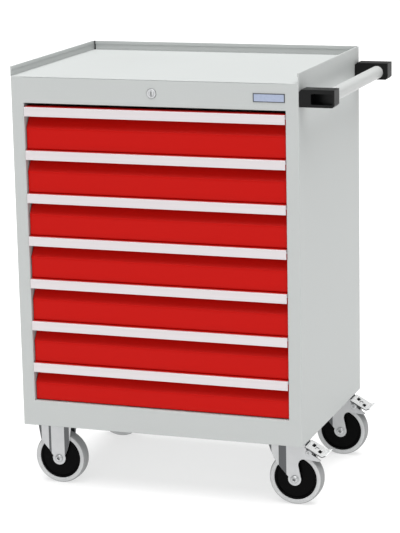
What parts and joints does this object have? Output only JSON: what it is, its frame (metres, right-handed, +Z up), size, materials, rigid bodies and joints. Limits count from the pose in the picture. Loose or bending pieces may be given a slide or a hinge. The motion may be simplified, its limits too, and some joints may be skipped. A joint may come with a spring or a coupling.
{
  "type": "rolling tool chest",
  "caption": "Folded-steel tool cabinet on casters: stacked shallow drawers with full-width grip strips, a rimmed top tray, a central lock and a side push handle.",
  "frame": {"origin": "on the ground, in the middle of the whole object's box (cabinet, grips and side handle together)", "axes": "+Z up, -Y out of the drawer fronts, +X towards the push handle"},
  "size_m": [0.76, 0.503, 0.994],
  "materials": {
    "grey_paint": "light grey powder coat, satin with a fine orange-peel grain",
    "red_paint": "traffic red powder coat, satin",
    "galvanised": "galvanised sheet, dull, faint spangle",
    "aluminium": "satin anodised extrusion",
    "black_plastic": "moulded, fine spark-eroded grain",
    "tube_paint": "light grey powder coat, satin",
    "zinc": "bright zinc plated pressed steel",
    "bright_zinc": "polished zinc plate",
    "chrome": "polished nickel plate",
    "grey_rubber": "non-marking grey rubber, matt",
    "black_nylon": "moulded nylon, semi-gloss",
    "label": "blank printed plate, pale blue-grey with a darker border"
  },
  "bodies": {
    "cabinet": {"back_panel": "grey_paint", "base_plate": "grey_paint", "front_bottom_skirt": "grey_paint", "front_left_axle": "zinc", "front_left_fork": "zinc", "front_right_plate": "zinc", "front_top_panel": "grey_paint", "handle_bracket_front": "black_plastic", "handle_bracket_rear": "black_plastic", "handle_tube": "tube_paint", "left_side_panel": "grey_paint", "lock_housing": "chrome", "lock_rod_bracket": "zinc", "nameplate": "label", "rear_left_axle": "zinc", "rear_left_fork": "zinc", "rear_right_plate": "zinc", "right_side_panel": "grey_paint", "runner_rack_left": "galvanised", "runner_rack_right": "galvanised", "top_tray": "grey_paint"},
    "drawer_1": {"drawer_1_box": "galvanised", "drawer_1_front": "red_paint", "drawer_1_grip": "aluminium"},
    "drawer_2": {"drawer_2_box": "galvanised", "drawer_2_front": "red_paint", "drawer_2_grip": "aluminium"},
    "drawer_3": {"drawer_3_box": "galvanised", "drawer_3_front": "red_paint", "drawer_3_grip": "aluminium"},
    "drawer_4": {"drawer_4_box": "galvanised", "drawer_4_front": "red_paint", "drawer_4_grip": "aluminium"},
    "drawer_5": {"drawer_5_box": "galvanised", "drawer_5_front": "red_paint", "drawer_5_grip": "aluminium"},
    "drawer_6": {"drawer_6_box": "galvanised", "drawer_6_front": "red_paint", "drawer_6_grip": "aluminium"},
    "drawer_7": {"drawer_7_box": "galvanised", "drawer_7_front": "red_paint", "drawer_7_grip": "aluminium"},
    "front_left_wheel": {"front_left_tyre": "grey_rubber", "front_left_hub": "black_nylon"},
    "rear_left_wheel": {"rear_left_tyre": "grey_rubber", "rear_left_hub": "black_nylon"},
    "front_right_caster": {"front_right_fork": "zinc", "front_right_axle": "zinc"},
    "front_right_wheel": {"front_right_tyre": "grey_rubber", "front_right_hub": "black_nylon"},
    "front_right_brake": {"front_right_brake_pedal": "bright_zinc"},
    "rear_right_caster": {"rear_right_fork": "zinc", "rear_right_axle": "zinc"},
    "rear_right_wheel": {"rear_right_tyre": "grey_rubber", "rear_right_hub": "black_nylon"},
    "rear_right_brake": {"rear_right_brake_pedal": "bright_zinc"},
    "lock_cylinder": {"lock_plug": "chrome", "lock_rod": "zinc"},
    "lock_bar": {"lock_bar": "zinc"}
  },
  "joints": [
    {"name": "drawer_1_slide", "type": "slide", "parent": "cabinet", "child": "drawer_1", "axis": [0, -1, 0], "range_m": [0, 0.36]},
    {"name": "drawer_2_slide", "type": "slide", "parent": "cabinet", "child": "drawer_2", "axis": [0, -1, 0], "range_m": [0, 0.36]},
    {"name": "drawer_3_slide", "type": "slide", "parent": "cabinet", "child": "drawer_3", "axis": [0, -1, 0], "range_m": [0, 0.36]},
    {"name": "drawer_4_slide", "type": "slide", "parent": "cabinet", "child": "drawer_4", "axis": [0, -1, 0], "range_m": [0, 0.36]},
    {"name": "drawer_5_slide", "type": "slide", "parent": "cabinet", "child": "drawer_5", "axis": [0, -1, 0], "range_m": [0, 0.36]},
    {"name": "drawer_6_slide", "type": "slide", "parent": "cabinet", "child": "drawer_6", "axis": [0, -1, 0], "range_m": [0, 0.36]},
    {"name": "drawer_7_slide", "type": "slide", "parent": "cabinet", "child": "drawer_7", "axis": [0, -1, 0], "range_m": [0, 0.36]},
    {"name": "front_left_roll", "type": "hinge", "parent": "cabinet", "child": "front_left_wheel", "pos_m": [-0.309, -0.1915, 0.0625], "axis": [0, 1, 0], "continuous": true},
    {"name": "rear_left_roll", "type": "hinge", "parent": "cabinet", "child": "rear_left_wheel", "pos_m": [-0.309, 0.1945, 0.0625], "axis": [0, 1, 0], "continuous": true},
    {"name": "front_right_swivel", "type": "hinge", "parent": "cabinet", "child": "front_right_caster", "pos_m": [0.228, -0.1915, 0.156], "axis": [0, 0, 1], "continuous": true},
    {"name": "front_right_roll", "type": "hinge", "parent": "front_right_caster", "child": "front_right_wheel", "pos_m": [0.2705, -0.1915, 0.0625], "axis": [0, 1, 0], "continuous": true},
    {"name": "front_right_brake_release", "type": "hinge", "parent": "front_right_caster", "child": "front_right_brake", "pos_m": [0.3045, -0.1915, 0.1275], "axis": [0, -1, 0], "range_deg": [0, 18]},
    {"name": "rear_right_swivel", "type": "hinge", "parent": "cabinet", "child": "rear_right_caster", "pos_m": [0.228, 0.1945, 0.156], "axis": [0, 0, 1], "continuous": true},
    {"name": "rear_right_roll", "type": "hinge", "parent": "rear_right_caster", "child": "rear_right_wheel", "pos_m": [0.2705, 0.1945, 0.0625], "axis": [0, 1, 0], "continuous": true},
    {"name": "rear_right_brake_release", "type": "hinge", "parent": "rear_right_caster", "child": "rear_right_brake", "pos_m": [0.3045, 0.1945, 0.1275], "axis": [0, -1, 0], "range_deg": [0, 18]},
    {"name": "lock_turn", "type": "hinge", "parent": "cabinet", "child": "lock_cylinder", "pos_m": [-0.04, -0.2485, 0.941], "axis": [0, 1, 0], "range_deg": [0, 90]},
    {"name": "lock_bar_drop", "type": "slide", "parent": "cabinet", "child": "lock_bar", "axis": [0, 0, -1], "range_m": [0, 0.01415]}
  ],
  "couplings": [
    {"joint": "lock_bar_drop", "follows": "lock_turn", "m_per_rad": 0.009}
  ]
}
